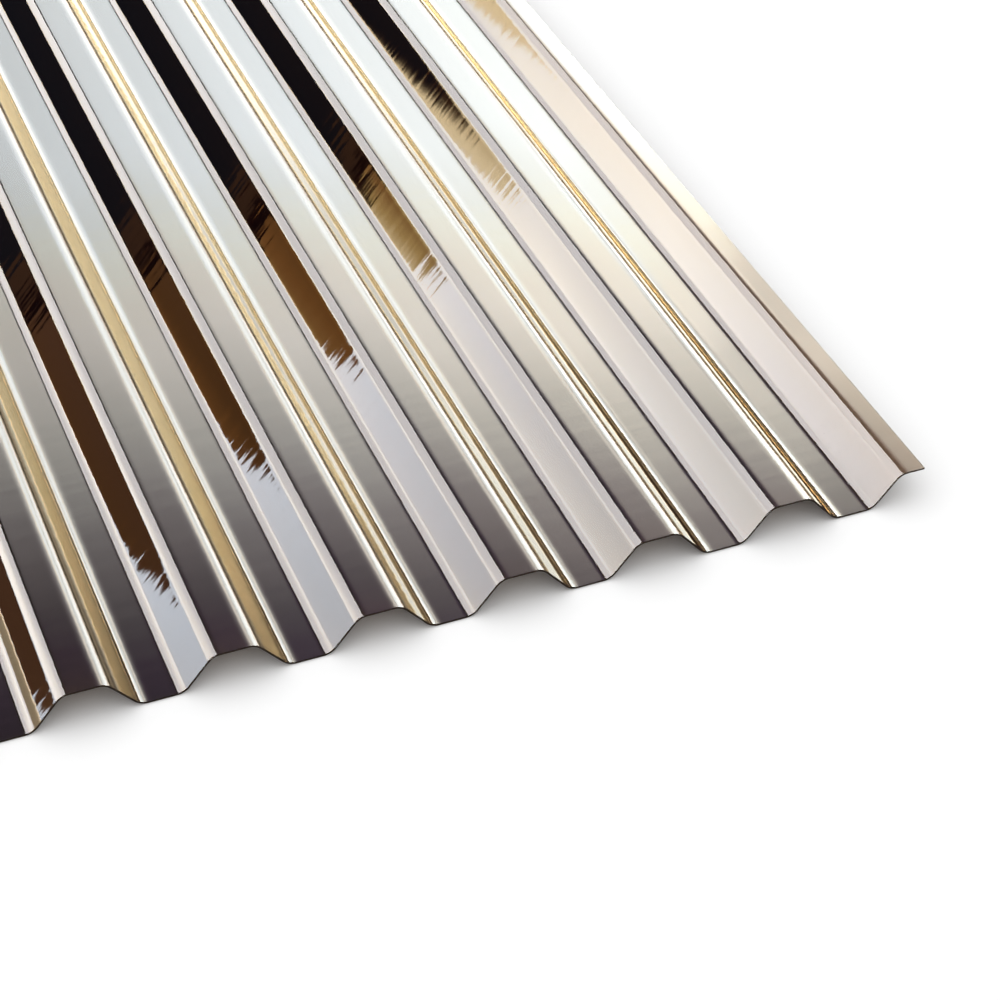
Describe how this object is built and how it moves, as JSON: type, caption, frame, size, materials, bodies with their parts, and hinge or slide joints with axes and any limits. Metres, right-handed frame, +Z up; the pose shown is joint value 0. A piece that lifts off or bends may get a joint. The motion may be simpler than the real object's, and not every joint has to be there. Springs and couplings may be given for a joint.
{
  "type": "profiled polycarbonate sheet",
  "caption": "Thin clear bronze-tinted roofing sheet formed into a run of flat-topped trapezoidal waves along its length.",
  "frame": {"origin": "on the floor plane under the middle of the sheet", "axes": "+X across the waves, +Y along the waves, +Z up from the floor through the sheet"},
  "size_m": [1.095, 2, 0.018],
  "materials": {
    "bronze_clear": "gloss, clear, with a light bronze tint"
  },
  "bodies": {
    "root": {"sheet": "bronze_clear"}
  },
  "joints": []
}
